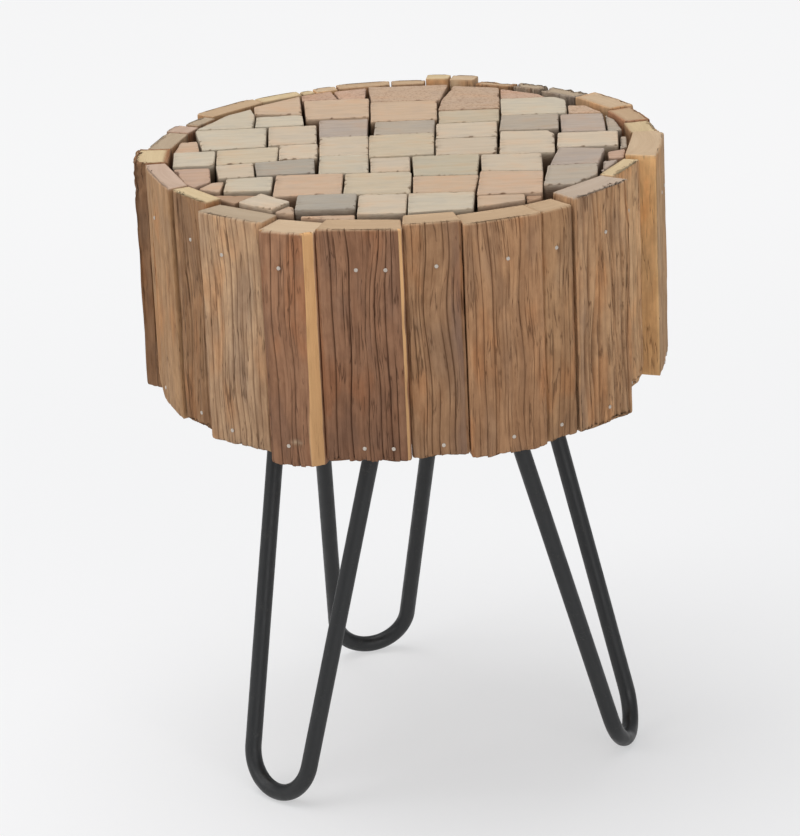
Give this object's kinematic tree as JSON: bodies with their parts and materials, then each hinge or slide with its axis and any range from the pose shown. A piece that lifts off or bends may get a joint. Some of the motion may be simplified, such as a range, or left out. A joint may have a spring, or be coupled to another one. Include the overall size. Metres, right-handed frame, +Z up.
{
  "type": "side table",
  "caption": "Low round side table: a drum of weathered nailed planks with a mosaic top of fitted wood offcuts, on bent steel rod hairpin legs",
  "frame": {"origin": "on the floor, under the middle of the drum and of the circle of the feet", "axes": "+Z up; +Y away from the viewer and +X to the viewer's right; the rows of offcuts run along X"},
  "size_m": [0.3773, 0.3824, 0.4543],
  "materials": {
    "plank_brown": "weathered reddish brown board, open grain",
    "plank_honey": "honey brown board, worn smooth",
    "plank_tan": "tan weathered board",
    "plank_grey": "silver grey eroded board",
    "plank_pale": "pale sawn board",
    "offcut_wood": "sanded offcuts in mixed tones",
    "board_wood": "plain softwood board",
    "black_steel": "satin black paint",
    "nail_steel": "bright wire nail",
    "screw_steel": "zinc plated screw"
  },
  "bodies": {
    "root": {"base_board": "board_wood", "deck_board": "board_wood", "spacer_post_1": "board_wood", "hairpin_leg_1": "black_steel", "leg_plate_1": "black_steel", "spacer_post_2": "board_wood", "hairpin_leg_2": "black_steel", "leg_plate_2": "black_steel", "spacer_post_3": "board_wood", "hairpin_leg_3": "black_steel", "leg_plate_3": "black_steel", "leg_screws": "screw_steel", "upper_nails": "nail_steel", "lower_nails": "nail_steel", "stave_01": "plank_brown", "stave_02": "plank_honey", "stave_03": "plank_tan", "stave_04": "plank_grey", "stave_05": "plank_brown", "stave_06": "plank_brown", "stave_07": "plank_brown", "stave_08": "plank_brown", "stave_09": "plank_brown", "stave_10": "plank_grey", "stave_11": "plank_pale", "stave_12": "plank_honey", "stave_13": "plank_tan", "stave_14": "plank_brown", "stave_15": "plank_honey", "stave_16": "plank_grey", "stave_17": "plank_grey", "stave_18": "plank_tan", "stave_19": "plank_pale", "stave_20": "plank_pale", "stave_21": "plank_pale", "stave_22": "plank_pale", "stave_23": "plank_honey", "stave_24": "plank_tan", "stave_25": "plank_pale", "stave_26": "plank_honey", "stave_27": "plank_tan", "stave_28": "plank_brown", "stave_29": "plank_tan", "top_blocks_row_1": "offcut_wood", "top_blocks_row_2": "offcut_wood", "top_blocks_row_3": "offcut_wood", "top_blocks_row_4": "offcut_wood", "top_blocks_row_5": "offcut_wood", "top_blocks_row_6": "offcut_wood", "top_blocks_row_7": "offcut_wood"}
  },
  "joints": []
}
